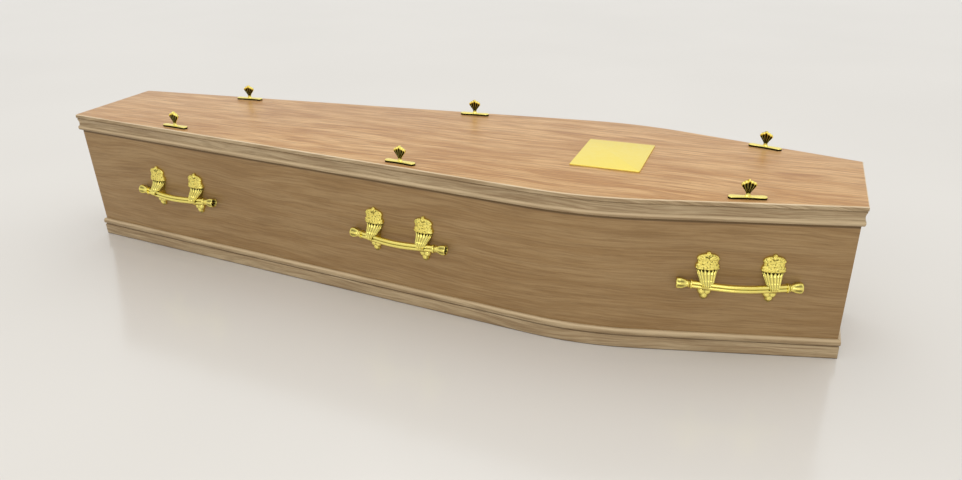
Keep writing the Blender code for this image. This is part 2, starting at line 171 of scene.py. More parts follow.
# Camera, found from the edges of the box in the photograph
CAMERA_PLACE = Vector((0.77397, -1.72733, 0.91764))
CAMERA_YAW = -0.35973
CAMERA_PITCH = -0.41951
CAMERA_ROLL = -0.00449
CAMERA_LENS = 30.878


def make_camera():
    """Camera at the photograph's place."""
    data = bpy.data.cameras.new("camera")
    data.sensor_width = 36
    data.lens = CAMERA_LENS
    data.clip_end = 50
    made = bpy.data.objects.new("camera", data)
    bpy.context.scene.collection.objects.link(made)
    level = math.cos(CAMERA_PITCH)
    forward = Vector((math.sin(CAMERA_YAW) * level, math.cos(CAMERA_YAW) * level, math.sin(CAMERA_PITCH)))
    right = forward.cross(Vector((0, 0, 1))).normalized()
    up = right.cross(forward)
    across = right * math.cos(CAMERA_ROLL) + up * math.sin(CAMERA_ROLL)
    upward = up * math.cos(CAMERA_ROLL) - right * math.sin(CAMERA_ROLL)
    turned = Matrix((across, upward, -forward)).transposed().to_4x4()
    made.matrix_world = Matrix.Translation(CAMERA_PLACE) @ turned
    bpy.context.scene.camera = made


class Nodes:
    """Short ways to add and join the nodes of one material."""

    def __init__(self, name):
        self.material = bpy.data.materials.new(name)
        self.material.use_nodes = True
        self.tree = self.material.node_tree
        self.shader = self.tree.nodes["Principled BSDF"]

    def link(self, source, target):
        """Joins an output to an input, or sets the input to a value."""
        if isinstance(source, bpy.types.NodeSocket):
            self.tree.links.new(source, target)
        else:
            target.default_value = source

    def attribute(self, name):
        """Reads a named attribute of the mesh."""
        node = self.tree.nodes.new("ShaderNodeAttribute")
        node.attribute_name = name
        return node

    def grain(self, along, across, source):
        """Stretches the grain's coordinates to so many cells a metre each way."""
        node = self.tree.nodes.new("ShaderNodeVectorMath")
        node.operation = "MULTIPLY"
        self.link(source, node.inputs[0])
        node.inputs[1].default_value = (along, across, 1)
        return node.outputs[0]

    def noise(self, source, scale, detail, roughness=0.5):
        """Noise value from 0 to 1."""
        node = self.tree.nodes.new("ShaderNodeTexNoise")
        node.inputs["Scale"].default_value = scale
        node.inputs["Detail"].default_value = detail
        node.inputs["Roughness"].default_value = roughness
        self.link(source, node.inputs["Vector"])
        return node.outputs["Fac"]

    def math(self, operation, first, second=0.0):
        """One sum."""
        node = self.tree.nodes.new("ShaderNodeMath")
        node.operation = operation
        self.link(first, node.inputs[0])
        self.link(second, node.inputs[1])
        return node.outputs[0]

    def ramp(self, source, low, high, start=0.0, end=1.0):
        """Maps a value's stretch from low to high onto start to end, smoothly."""
        node = self.tree.nodes.new("ShaderNodeMapRange")
        node.interpolation_type = "SMOOTHSTEP"
        self.link(source, node.inputs["Value"])
        node.inputs["From Min"].default_value = low
        node.inputs["From Max"].default_value = high
        node.inputs["To Min"].default_value = start
        node.inputs["To Max"].default_value = end
        return node.outputs["Result"]

    def mix(self, share, first, second):
        """Mixes two colours."""
        node = self.tree.nodes.new("ShaderNodeMix")
        node.data_type = "RGBA"
        self.link(share, node.inputs["Factor"])
        for source, target in ((first, node.inputs[6]), (second, node.inputs[7])):
            self.link(source if isinstance(source, bpy.types.NodeSocket) else (*source, 1), target)
        return node.outputs[2]

    def bump(self, height, strength, distance):
        """Bends the shader's normal by a height."""
        node = self.tree.nodes.new("ShaderNodeBump")
        node.inputs["Strength"].default_value = strength
        node.inputs["Distance"].default_value = distance
        self.link(height, node.inputs["Height"])
        self.link(node.outputs[0], self.shader.inputs["Normal"])


def wood_material(name, pale, middle, dark, streak):
    """Lacquered oak: bands and a wandering figure, fine fibres and short dark pores, with painted shade and
    painted highlights where the mesh marks them.
    """
    made = Nodes(name)
    plain = made.attribute("grain").outputs["Vector"]
    wander = made.noise(made.grain(2.2, 6.0, plain), 1.0, 3.0)
    swing = made.math("MULTIPLY", made.math("SUBTRACT", wander, 0.5), 0.06)
    shift = made.tree.nodes.new("ShaderNodeCombineXYZ")
    made.link(swing, shift.inputs["Y"])
    moved = made.tree.nodes.new("ShaderNodeVectorMath")
    made.link(plain, moved.inputs[0])
    made.link(shift.outputs[0], moved.inputs[1])
    figure = moved.outputs[0]
    bands = made.noise(made.grain(4.0, 36.0, figure), 1.0, 4.0, 0.6)
    streaks = made.noise(made.grain(4.6, 140.0, figure), 1.0, 5.0, 0.65)
    clouds = made.noise(made.grain(2.5, 3.5, plain), 1.0, 2.0)
    strands = made.noise(made.grain(9.0, 270.0, figure), 1.0, 3.0, 0.6)
    fibres = made.noise(made.grain(11.0, 620.0, plain), 1.0, 3.0, 0.6)
    pores = made.noise(made.grain(38.0, 1500.0, figure), 1.0, 1.0)
    colour = made.mix(made.ramp(bands, 0.38, 0.62), middle, pale)
    colour = made.mix(made.ramp(clouds, 0.35, 0.65, 0.0, 0.22), colour, dark)
    colour = made.mix(made.ramp(streaks, 0.46, 0.66, 0.0, streak), colour, dark)
    colour = made.mix(made.ramp(strands, 0.44, 0.64, 0.0, 0.85 * streak), colour, dark)
    colour = made.mix(made.ramp(strands, 0.50, 0.34, 0.0, 0.70 * streak), colour, pale)
    colour = made.mix(made.ramp(fibres, 0.30, 0.70, 0.0, 0.22), colour, dark)
    vessel = made.math("MULTIPLY", made.ramp(pores, 0.60, 0.74), made.ramp(streaks, 0.30, 0.60, 0.35, 1.0))
    colour = made.mix(made.math("MULTIPLY", vessel, 0.38), colour, [0.45 * part for part in dark])
    # Painted shade darkens joints, quirks and the wall under the rim; below 0 the mark paints a pale
    # highlight along bead tops.
    shade_and_highlight = made.attribute("shade_and_highlight").outputs["Fac"]
    colour = made.mix(made.math("MULTIPLY", shade_and_highlight, 0.85), colour, [0.30 * part for part in dark])
    colour = made.mix(made.math("MULTIPLY", shade_and_highlight, -0.60), colour, [min(1.30 * part, 1) for part in pale])
    made.link(colour, made.shader.inputs["Base Color"])
    made.link(made.ramp(fibres, 0.2, 0.8, 0.30, 0.42), made.shader.inputs["Roughness"])
    made.shader.inputs["Specular IOR Level"].default_value = 0.28
    made.bump(made.math("SUBTRACT", fibres, vessel), 0.18, 0.0003)
    return made.material


def brass_material(name, bright, dim, roughness, stipple):
    """Cast brass, painted near black and duller where the mesh marks painted shade: recesses, grooves,
    creases and shaded faces.
    """
    made = Nodes(name)
    place = made.tree.nodes.new("ShaderNodeTexCoord").outputs["Object"]
    painted_shade = made.attribute("painted_shade").outputs["Fac"]
    matt = made.attribute("matt").outputs["Fac"]
    cloud = made.noise(place, 90.0, 3.0)
    grit = made.noise(place, 900.0, 2.0)
    tone = made.mix(made.ramp(cloud, 0.3, 0.7, 0.0, 0.25), bright, dim)
    spots = made.math("MULTIPLY", made.ramp(grit, 0.48, 0.66, 0.0, 0.55), matt)
    tone = made.mix(spots, tone, dim)
    # Painted shade: marked points go near black.
    tone = made.mix(painted_shade, tone, [0.02 * part for part in dim])
    made.link(tone, made.shader.inputs["Base Color"])
    made.shader.inputs["Metallic"].default_value = 1.0
    dull = made.math("ADD", made.math("MULTIPLY", matt, 0.22), made.math("MULTIPLY", painted_shade, 0.25))
    made.link(made.math("ADD", made.math("ADD", dull, made.ramp(cloud, 0.3, 0.7, 0.0, 0.06)), roughness),
              made.shader.inputs["Roughness"])
    rough = made.math("MULTIPLY", grit, made.math("ADD", matt, 0.06))
    made.bump(rough, stipple, 0.0006)
    return made.material


def floor_material():
    """Pale floor with a soft sheen."""
    made = Nodes("pale_floor")
    place = made.tree.nodes.new("ShaderNodeTexCoord").outputs["Object"]
    cloud = made.noise(place, 0.8, 2.0)
    made.link(made.mix(made.ramp(cloud, 0.3, 0.7), (0.76, 0.74, 0.705), (0.79, 0.77, 0.735)),
              made.shader.inputs["Base Color"])
    made.shader.inputs["Roughness"].default_value = 0.17
    made.shader.inputs["IOR"].default_value = 1.75
    return made.material


def skin(name, rings, alongs, offset, shades_and_highlights=None):
    """Closed mesh over rings of like count, its grain running from ring to ring, carrying painted shade and
    highlight marks if given.
    """
    shape = bmesh.new()
    grain = shape.loops.layers.float_vector.new("grain")
    shade_layer = shape.verts.layers.float.new("shade_and_highlight")
    loops = [[shape.verts.new(point) for point in ring] for ring in rings]
    if shades_and_highlights:
        for ring in loops:
            for vert, shade_and_highlight in zip(ring, shades_and_highlights):
                vert[shade_layer] = shade_and_highlight
    count = len(loops[0])
    arounds = [0.0]
    for i in range(count):
        arounds.append(arounds[-1] + (rings[0][(i + 1) % count] - rings[0][i]).length)
    for (low, start), (high, end) in zip(zip(loops, alongs), list(zip(loops, alongs))[1:]):
        for i in range(count):
            j = (i + 1) % count
            face = shape.faces.new((low[i], low[j], high[j], high[i]))
            corners = ((start, i), (start, i + 1), (end, i + 1), (end, i))
            for loop, (along, place) in zip(face.loops, corners):
                loop[grain] = (along + offset, arounds[place] + offset, 0)
    for ring in (list(reversed(loops[0])), loops[-1]):
        face = shape.faces.new(ring)
        for loop in face.loops:
            loop[grain] = (loop.vert.co.z * 0.3 + offset, loop.vert.co.y + offset, 0)
    bmesh.ops.recalc_face_normals(shape, faces=shape.faces)
    made = bpy.data.meshes.new(name)
    shape.to_mesh(made)
    shape.free()
    return made


def board(rings):
    """Flat closed board between two level outlines, its grain along the length."""
    shape = bmesh.new()
    grain = shape.loops.layers.float_vector.new("grain")
    low, high = [[shape.verts.new(point) for point in ring] for ring in rings]
    count = len(low)
    for i in range(count):
        shape.faces.new((low[i], low[(i + 1) % count], high[(i + 1) % count], high[i]))
    for ring in (low, high):
        for i in range(count // 2 - 1):
            shape.faces.new((ring[i], ring[i + 1], ring[count - 2 - i], ring[count - 1 - i]))
    bmesh.ops.recalc_face_normals(shape, faces=shape.faces)
    for face in shape.faces:
        for loop in face.loops:
            loop[grain] = (loop.vert.co.x - 4.0, loop.vert.co.y + loop.vert.co.z, 0)
    made = bpy.data.meshes.new("board")
    shape.to_mesh(made)
    shape.free()
    return made


def add_piece(name, mesh, material, nodes, sharp=35):
    """Puts a piece on the coffin in place of the solids that it stands for."""
    mesh.materials.append(material)
    mesh.shade_smooth()
    mesh.set_sharp_from_angle(angle=math.radians(sharp))
    made = bpy.data.objects.new(name, mesh)
    bpy.context.scene.collection.objects.link(made)
    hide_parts(*nodes)
    return made


def placed(mesh, place):
    """Copy of a mesh moved to its place."""
    made = mesh.copy()
    made.transform(place)
    return made


def arc_point(angle, inset):
    """Plan point on the shoulder's bend, that far inside the lid's edge."""
    reach = BEND_RADIUS * math.tan((FOOT_ANGLE - HEAD_ANGLE) / 2)
    start = Vector((SHOULDER_X, SHOULDER_WIDTH / 2))
    start -= reach * Vector((math.cos(FOOT_ANGLE), math.sin(FOOT_ANGLE)))
    centre = start + BEND_RADIUS * Vector((math.sin(FOOT_ANGLE), -math.cos(FOOT_ANGLE)))
    return centre + (BEND_RADIUS - inset) * Vector((-math.sin(angle), math.cos(angle)))


def run_point(angle, inset, x):
    """Plan point on a straight run of the side, that far inside the lid's edge."""
    tangent = arc_point(angle, inset)
    return Vector((x, tangent.y + (x - tangent.x) * math.tan(angle)))


def side_line(inset, end_inset):
    """Plan points along the right side from the foot to the head."""
    points = [run_point(FOOT_ANGLE, inset, end_inset - HALF_LENGTH)]
    for step in range(BEND_STEPS + 1):
        points.append(arc_point(FOOT_ANGLE + (HEAD_ANGLE - FOOT_ANGLE) * step / BEND_STEPS, inset))
    points.append(run_point(HEAD_ANGLE, inset, HALF_LENGTH - end_inset))
    return points


def wall_inset(z):
    """Distance of a side's outer face inside the lid's edge at one height."""
    return OVERHANG + SIDE_LEAN * (1 - z / WALL_TOP)


def sweep_side(name, section, side, gap, offset):
    """Runs a section of (side inset, end inset, z) points along one side."""
    lines = [side_line(inset, end_inset + gap) for inset, end_inset, z in section]
    rings = []
    for station in range(len(lines[0])):
        rings.append([Vector((line[station].x, side * line[station].y, part[2]))
                      for line, part in zip(lines, section)])
    alongs = [0.0]
    for before, after in zip(rings, rings[1:]):
        alongs.append(alongs[-1] + (after[0] - before[0]).length)
    return skin(name, rings, alongs, offset, painted_joint_shade(section))


def painted_joint_shade(section):
    """Painted shade and highlight at each point of a section: 1 for shade painted in joints, quirks and
    under the rim, below 0 for a highlight painted along bead tops.
    """
    # Painted shade under the rim moulding, in the seam under the lip, in the base groove and at the foot;
    # painted highlights along the tops of the two beads.
    shade_lines = ((MOULD_BOTTOM - RIM_SHADE, 0.0030, 1.0), (LIP_BOTTOM - 0.0006, 0.0014, 0.45))
    shade_lines += ((PLAIN_HEIGHT + GROOVE_HEIGHT / 2, 0.0020, 1.0), (0.0004, 0.0028, 0.9))
    beads = ((BASE_MOULD_HEIGHT - 0.0025, 0.0055), (MOULD_BOTTOM + 0.0075, 0.0040))
    marks = []
    for part in section:
        shaded = max(full * max(1 - abs(part[2] - z) / reach, 0) for z, reach, full in shade_lines)
        highlit = max(max(1 - abs(part[2] - z) / reach, 0) for z, reach in beads)
        marks.append(shaded - highlit)
    return marks


def sweep_end(name, section, end, angle, offset):
    """Runs a section of (side inset, end inset, z) points across one end, mitred to the sides."""
    rings = []
    for side in (-1, 1):
        ring = []
        for inset, end_inset, z in section:
            x = end * (HALF_LENGTH - end_inset)
            ring.append(Vector((x, side * run_point(angle, inset, x).y, z)))
        rings.append(ring)
    return skin(name, rings, [rings[0][0].y, rings[1][0].y], offset, painted_joint_shade(section))


def lid_moulding_section():
    """Quirk, hollow and round under the lid's lip, with a rebate over the wall's top edge."""
    top = LIP_BOTTOM - FIT
    cove_top = top - 0.0020
    bead_top = MOULD_BOTTOM + RIM_BEAD
    points = [(0.0030, top), (0.0030, cove_top + 0.0004), (0.0014, cove_top), (0.0010, cove_top - 0.0004)]
    for step in range(1, 13):
        share = step / 12
        inset = 0.0010 + 0.0025 * share + 0.0015 * math.sin(math.pi * share)
        points.append((inset, cove_top + (bead_top - cove_top) * share))
    for step in range(1, 17):
        turn = math.pi * step / 16
        points.append((0.0035 - 0.0030 * math.sin(turn), MOULD_BOTTOM + RIM_BEAD * (1 + math.cos(turn)) / 2))
    points += [(OVERHANG - 0.001, MOULD_BOTTOM), (OVERHANG - 0.001, WALL_TOP + FIT)]
    points += [(RIM_INSIDE, WALL_TOP + FIT), (RIM_INSIDE, top)]
    return [(inset, inset, z) for inset, z in points]


def base_moulding_section():
    """Plain face with an eased foot, a groove and a bead, against the walls."""
    bead_bottom = PLAIN_HEIGHT + GROOVE_HEIGHT
    points = [(FIT, 0), (BASE_MOULD - 0.0006, 0), (BASE_MOULD, 0.0006), (BASE_MOULD, 0.0032)]
    points += [(BASE_MOULD, PLAIN_HEIGHT - 0.0010), (BASE_MOULD - 0.0004, PLAIN_HEIGHT - 0.0003)]
    points += [(BASE_MOULD - 0.0010, PLAIN_HEIGHT), (BASE_MOULD - 0.0025, PLAIN_HEIGHT + 0.0008)]
    points.append((BASE_MOULD - 0.0025, bead_bottom))
    for step in range(1, 17):
        turn = math.pi * step / 16
        out = BASE_MOULD - 0.0010 - 0.0020 * step / 16 + 0.0035 * math.sin(turn)
        points.append((out, bead_bottom + BASE_BEAD * (1 - math.cos(turn)) / 2))
    points.append((FIT, BASE_MOULD_HEIGHT))
    return [(wall_inset(z) - out, OVERHANG - out, z) for out, z in points]


def make_box(wood):
    """Base, two bent sides and two ends set between them."""
    inside = RIM_INSIDE + FIT
    rings = []
    for z in (0, BASE_THICKNESS):
        line = side_line(wall_inset(z) + WALL + FIT, inside)
        ring = [Vector((point.x, point.y, z)) for point in line]
        rings.append(ring + [Vector((point.x, -point.y, z)) for point in reversed(line)])
    add_piece("veneered_base", board(rings), wood, ["base_board"])
    # Extra rings under the rim carry the painted shade below the moulding.
    outside = [0, PLAIN_HEIGHT / 2, MOULD_BOTTOM - 0.0080, MOULD_BOTTOM - RIM_SHADE, MOULD_BOTTOM, WALL_TOP]
    walls = [(z, 0) for z in outside] + [(WALL_TOP, WALL), (0, WALL)]
    section = [(wall_inset(z) + depth, OVERHANG, z) for z, depth in walls]
    for name, side in SIDES.items():
        mesh = sweep_side("veneered_side_" + name, section, side, 0, 3.1 * side)
        add_piece("veneered_side_" + name, mesh, wood, ["side_panel_" + name])
    for name, (end, angle) in ENDS.items():
        rings = []
        for side in (-1, 1):
            ring = []
            for z, depth in walls:
                x = end * (HALF_LENGTH - OVERHANG - depth)
                ring.append(Vector((x, side * run_point(angle, wall_inset(z) + WALL + FIT, x).y, z)))
            rings.append(ring)
        mesh = skin("veneered_end_" + name, rings, [rings[0][0].y, rings[1][0].y], 7.3 * end,
                    painted_joint_shade(section))
        add_piece("veneered_end_" + name, mesh, wood, [name + "_panel"])


def make_lid(wood, edging, arris_highlight):
    """Rebated lid board with a softly rounded top edge, whose faces carry a pale painted highlight."""
    tongue = RIM_INSIDE + FIT
    steps = [(tongue, HEIGHT - LID_THICKNESS), (tongue, LIP_BOTTOM), (0.0004, LIP_BOTTOM)]
    steps.append((0, LIP_BOTTOM + 0.0004))
    for step in range(7):
        turn = math.pi / 2 * step / 6
        steps.append((LID_ARRIS * (1 - math.cos(turn)), HEIGHT - LID_ARRIS * (1 - math.sin(turn))))
    shape = bmesh.new()
    grain = shape.loops.layers.float_vector.new("grain")
    loops = []
    for inset, z in steps:
        line = side_line(inset, inset)
        ring = [shape.verts.new((point.x, point.y, z)) for point in line]
        loops.append(ring + [shape.verts.new((point.x, -point.y, z)) for point in reversed(line)])
    count = len(loops[0])
    for low, high in zip(loops, loops[1:]):
        for i in range(count):
            shape.faces.new((low[i], low[(i + 1) % count], high[(i + 1) % count], high[i]))
    half = count // 2
    for ring in (loops[0], loops[-1]):
        for i in range(half - 1):
            shape.faces.new((ring[i], ring[i + 1], ring[count - 2 - i], ring[count - 1 - i]))
    bmesh.ops.recalc_face_normals(shape, faces=shape.faces)
    for face in shape.faces:
        for loop in face.loops:
            place = loop.vert.co
            if abs(face.normal.z) < 0.3 and abs(face.normal.x) > 0.9:
                loop[grain] = (place.y, place.z + 1.7, 0)
            else:
                loop[grain] = (place.x + 5.0, place.y + math.copysign(place.z - HEIGHT, place.y), 0)
        # Faces of the rounded top edge take the pale arris material, a painted highlight; the upright edge
        # takes the moulding wood.
        if face.calc_center_median().z > LIP_BOTTOM and face.normal.z < 0.97:
            face.material_index = 1 if face.normal.z < 0.25 else 2
    mesh = bpy.data.meshes.new("veneered_lid")
    shape.to_mesh(mesh)
    shape.free()
    add_piece("veneered_lid", mesh, wood, ["lid_board"])
    mesh.materials.append(edging)
    mesh.materials.append(arris_highlight)


def make_mouldings(stem, prefix, section, wood):
    """Four lengths of one moulding, mitred at the corners."""
    for number, (name, side) in enumerate(SIDES.items()):
        mesh = sweep_side(stem + name, section, side, FIT, 11.7 + 2.3 * number)
        add_piece(stem + name, mesh, wood, [prefix + name], 50)
    for number, (name, (end, angle)) in enumerate(ENDS.items()):
        mesh = sweep_end(stem + name, section, end, angle, 17.9 + 2.9 * number)
        add_piece(stem + name, mesh, wood, [prefix + name], 50)


def make_plate(metal):
    """Plain plate with eased edges."""
    shape = bmesh.new()
    bmesh.ops.create_cube(shape, size=1)
    bmesh.ops.scale(shape, verts=shape.verts, vec=(PLATE_LENGTH, PLATE_WIDTH, PLATE_THICKNESS))
    upright = [edge for edge in shape.edges if abs(edge.verts[0].co.z - edge.verts[1].co.z) > 0.001]
    bmesh.ops.bevel(shape, geom=upright, offset=0.0020, segments=4, affect="EDGES", profile=0.5)
    rim = [edge for edge in shape.edges if edge.verts[0].co.z > 0.001 and edge.verts[1].co.z > 0.001]
    bmesh.ops.bevel(shape, geom=rim, offset=0.0008, segments=3, affect="EDGES", profile=0.5)
    bmesh.ops.translate(shape, verts=shape.verts, vec=(SHOULDER_X, 0, HEIGHT + FIT + PLATE_THICKNESS / 2))
    mesh = bpy.data.meshes.new("brass_plate")
    shape.to_mesh(mesh)
    shape.free()
    add_piece("brass_plate", mesh, metal, ["nameplate"])


def smooth_through(knots, place):
    """Value at a place on a smooth run through (place, value) knots that never overshoots."""
    if place <= knots[0][0]:
        return knots[0][1]
    for (a, low), (b, high) in zip(knots, knots[1:]):
        if place <= b:
            share = (place - a) / (b - a)
            return low + (high - low) * (0.35 * share + 0.65 * share * share * (3 - 2 * share))
    return knots[-1][1]


def bar_point(u):
    """Centre of the bar in the handle's frame, u along the wall and v out of it."""
    return Vector((u, BAR_STANDOFF - BAR_BOW * math.sin(math.pi * u / 2 / BOW_REACH) ** 2, 0))


def bar_direction(u):
    """Unit direction of the bar at u."""
    slope = -BAR_BOW * math.pi / 2 / BOW_REACH * math.sin(math.pi * u / BOW_REACH)
    return Vector((1, slope, 0)).normalized()


def marked_mesh(name, rings, marks):
    """Skin over closed rings that carries how much painted shade and how matt each point is."""
    shape = bmesh.new()
    painted_shade = shape.verts.layers.float.new("painted_shade")
    matt = shape.verts.layers.float.new("matt")
    loops = []
    for ring, row in zip(rings, marks):
        made = [shape.verts.new(point) for point in ring]
        for vert, (deep, dull) in zip(made, row):
            vert[painted_shade] = deep
            vert[matt] = dull
        loops.append(made)
    count = len(loops[0])
    for low, high in zip(loops, loops[1:]):
        for i in range(count):
            j = (i + 1) % count
            shape.faces.new((low[i], low[j], high[j], high[i]))
    for ring in (loops[0], loops[-1]):
        shape.faces.new(ring)
    bmesh.ops.recalc_face_normals(shape, faces=shape.faces)
    mesh = bpy.data.meshes.new(name)
    shape.to_mesh(mesh)
    shape.free()
    return mesh


def make_bar_mesh():
    """Bowed bar with a groove between two reeds, a collar and a petalled bell at each end."""
    around = 48
    shank = BAR_LENGTH / 2 - BELL_LENGTH
    bell = [(0.00, 0.0080), (0.02, 0.0098), (0.07, 0.0100), (0.11, 0.0094), (0.13, 0.0072), (0.17, 0.0068)]
    bell += [(0.20, 0.0080), (0.23, 0.0082), (0.26, 0.0072), (0.34, 0.0072), (0.46, 0.0090), (0.60, 0.0108)]
    bell += [(0.74, 0.0117), (0.86, 0.0118), (0.95, 0.0114), (1.00, 0.0104)]
    stations = []
    for step in range(61):
        share = 2 * step / 60 - 1
        stations.append((shank * share, BAR_RADIUS, 1.0, 0.0, 0.0, 0.0))
    places = [0.004, 0.02, 0.045, 0.07, 0.09, 0.11, 0.125, 0.15, 0.17, 0.185, 0.20, 0.215, 0.23, 0.245]
    places += [0.26] + [0.30 + 0.035 * step for step in range(19)] + [0.96, 0.985, 1.0]
    for share in places:
        petal = min(max((share - 0.34) / 0.22, 0), 1) * min(max((0.97 - share) / 0.07, 0), 1)
        shade = 0.45 if 0.12 < share < 0.19 or 0.25 < share < 0.30 else 0.0
        stations.append((shank + BELL_LENGTH * share, smooth_through(bell, share), 0.0, petal, shade, 0.0))
    for depth, radius in ((0.0008, 0.0092), (0.0030, 0.0078), (0.0052, 0.0052), (0.0058, 0.0030)):
        stations.append((shank + BELL_LENGTH - depth, radius, 0.0, 0.9, min(depth / 0.004, 0.9), 0.0))
    stations.append((shank + BELL_LENGTH - 0.0040, 0.0016, 0.0, 0.0, 0.2, 0.0))
    ends = [(-u, *rest) for u, *rest in reversed(stations[61:])]
    rings = []
    marks = []
    for u, radius, reed, petal, shade, dull in ends + stations:
        along = bar_direction(u)
        out = Vector((-along.y, along.x, 0))
        ring = []
        row = []
        for i in range(around):
            turn = 2 * math.pi * i / around
            facing = turn - GROOVE_TURN
            hollow = math.exp(-(math.sin(facing) / 0.26) ** 2) * reed
            crease = petal * abs(math.sin(3 * facing)) ** 1.6
            reach = radius * (1 - 0.20 * crease) - 0.0028 * hollow
            offset = out * math.cos(turn) + Vector((0, 0, 1)) * math.sin(turn)
            ring.append(bar_point(u) + reach * offset)
            groove = math.exp(-(math.sin(facing) / 0.13) ** 2) * reed
            # Painted shade along the groove, at the collar bands and inside the bell's creases and mouth.
            row.append((min(0.9 * groove + shade + 0.75 * crease ** 1.5, 1), dull))
        rings.append(ring)
        marks.append(row)
    return marked_mesh("reeded_bar", rings, marks)


def bracket_profiles():
    """How half width and depth run down the bracket, by height over the bar."""
    wide = BRACKET_WIDTH / 2
    neck = NECK_WIDTH / 2
    leaf = PENDANT_WIDTH / 2
    front = bar_point(BRACKET_SPACING / 2).y + EYE_REACH
    under = CROWN_DEPTH - RIM_UNDERCUT
    rise = BRACKET_RISE - EYE_REACH
    drop = BRACKET_DROP - EYE_REACH
    widths = [(1.00, 0.05), (0.985, 0.13), (0.965, 0.175), (0.945, 0.175), (0.928, 0.16), (0.918, 0.26)]
    widths += [(0.905, 0.46), (0.885, 0.60), (0.86, 0.70), (0.83, 0.80), (0.80, 0.88), (0.765, 0.93)]
    widths += [(0.73, 0.93), (0.69, 0.90), (0.64, 0.855), (0.60, 0.845), (0.56, 0.87), (0.52, 0.925)]
    widths += [(0.47, 0.98), (0.42, 1.00), (0.37, 0.99), (0.35, 0.97), (0.335, 0.92), (0.31, 0.90)]
    widths += [(0.16, 0.79), (0.01, 0.64)]
    width = [(EYE_REACH + share * rise, part * wide) for share, part in widths]
    width += [(0.4 * EYE_REACH, neck * 1.06), (-0.6 * EYE_REACH, neck), (-0.95 * EYE_REACH, neck * 0.86)]
    leaves = [(0.02, 0.80), (0.10, 0.90), (0.20, 0.98), (0.33, 1.00), (0.45, 0.96), (0.53, 0.82)]
    leaves += [(0.59, 0.66), (0.65, 0.60), (0.74, 0.61), (0.84, 0.54), (0.93, 0.36), (1.00, 0.10)]
    width += [(-EYE_REACH - share * drop, part * leaf) for share, part in leaves]
    deeps = [(1.00, 0.0034), (0.97, 0.0054), (0.93, 0.0052), (0.89, 0.0064), (0.71, 0.0082), (0.54, 0.0102)]
    deeps += [(0.38, CROWN_DEPTH), (0.352, CROWN_DEPTH), (0.338, under + 0.0004), (0.325, under)]
    deeps += [(0.20, under + 0.0045), (0.01, under + 0.68 * (front - under))]
    depth = [(EYE_REACH + share * rise, deep) for share, deep in deeps]
    depth += [(0.4 * EYE_REACH, front), (0.0, front - 0.0004), (-0.16 * EYE_REACH, front - 0.0014)]
    depth.append((-0.26 * EYE_REACH, front - EYE_REACH + 0.0035))
    depth.append((-0.85 * EYE_REACH, front - EYE_REACH + 0.0020))
    depth += [(-1.02 * EYE_REACH, 0.55 * front), (-1.25 * EYE_REACH, PENDANT_DEPTH * 0.95)]
    depth += [(-EYE_REACH - 0.36 * drop, PENDANT_DEPTH), (-EYE_REACH - 0.72 * drop, PENDANT_DEPTH * 0.95)]
    depth += [(-BRACKET_DROP, PENDANT_DEPTH * 0.6)]
    return sorted(width), sorted(depth)


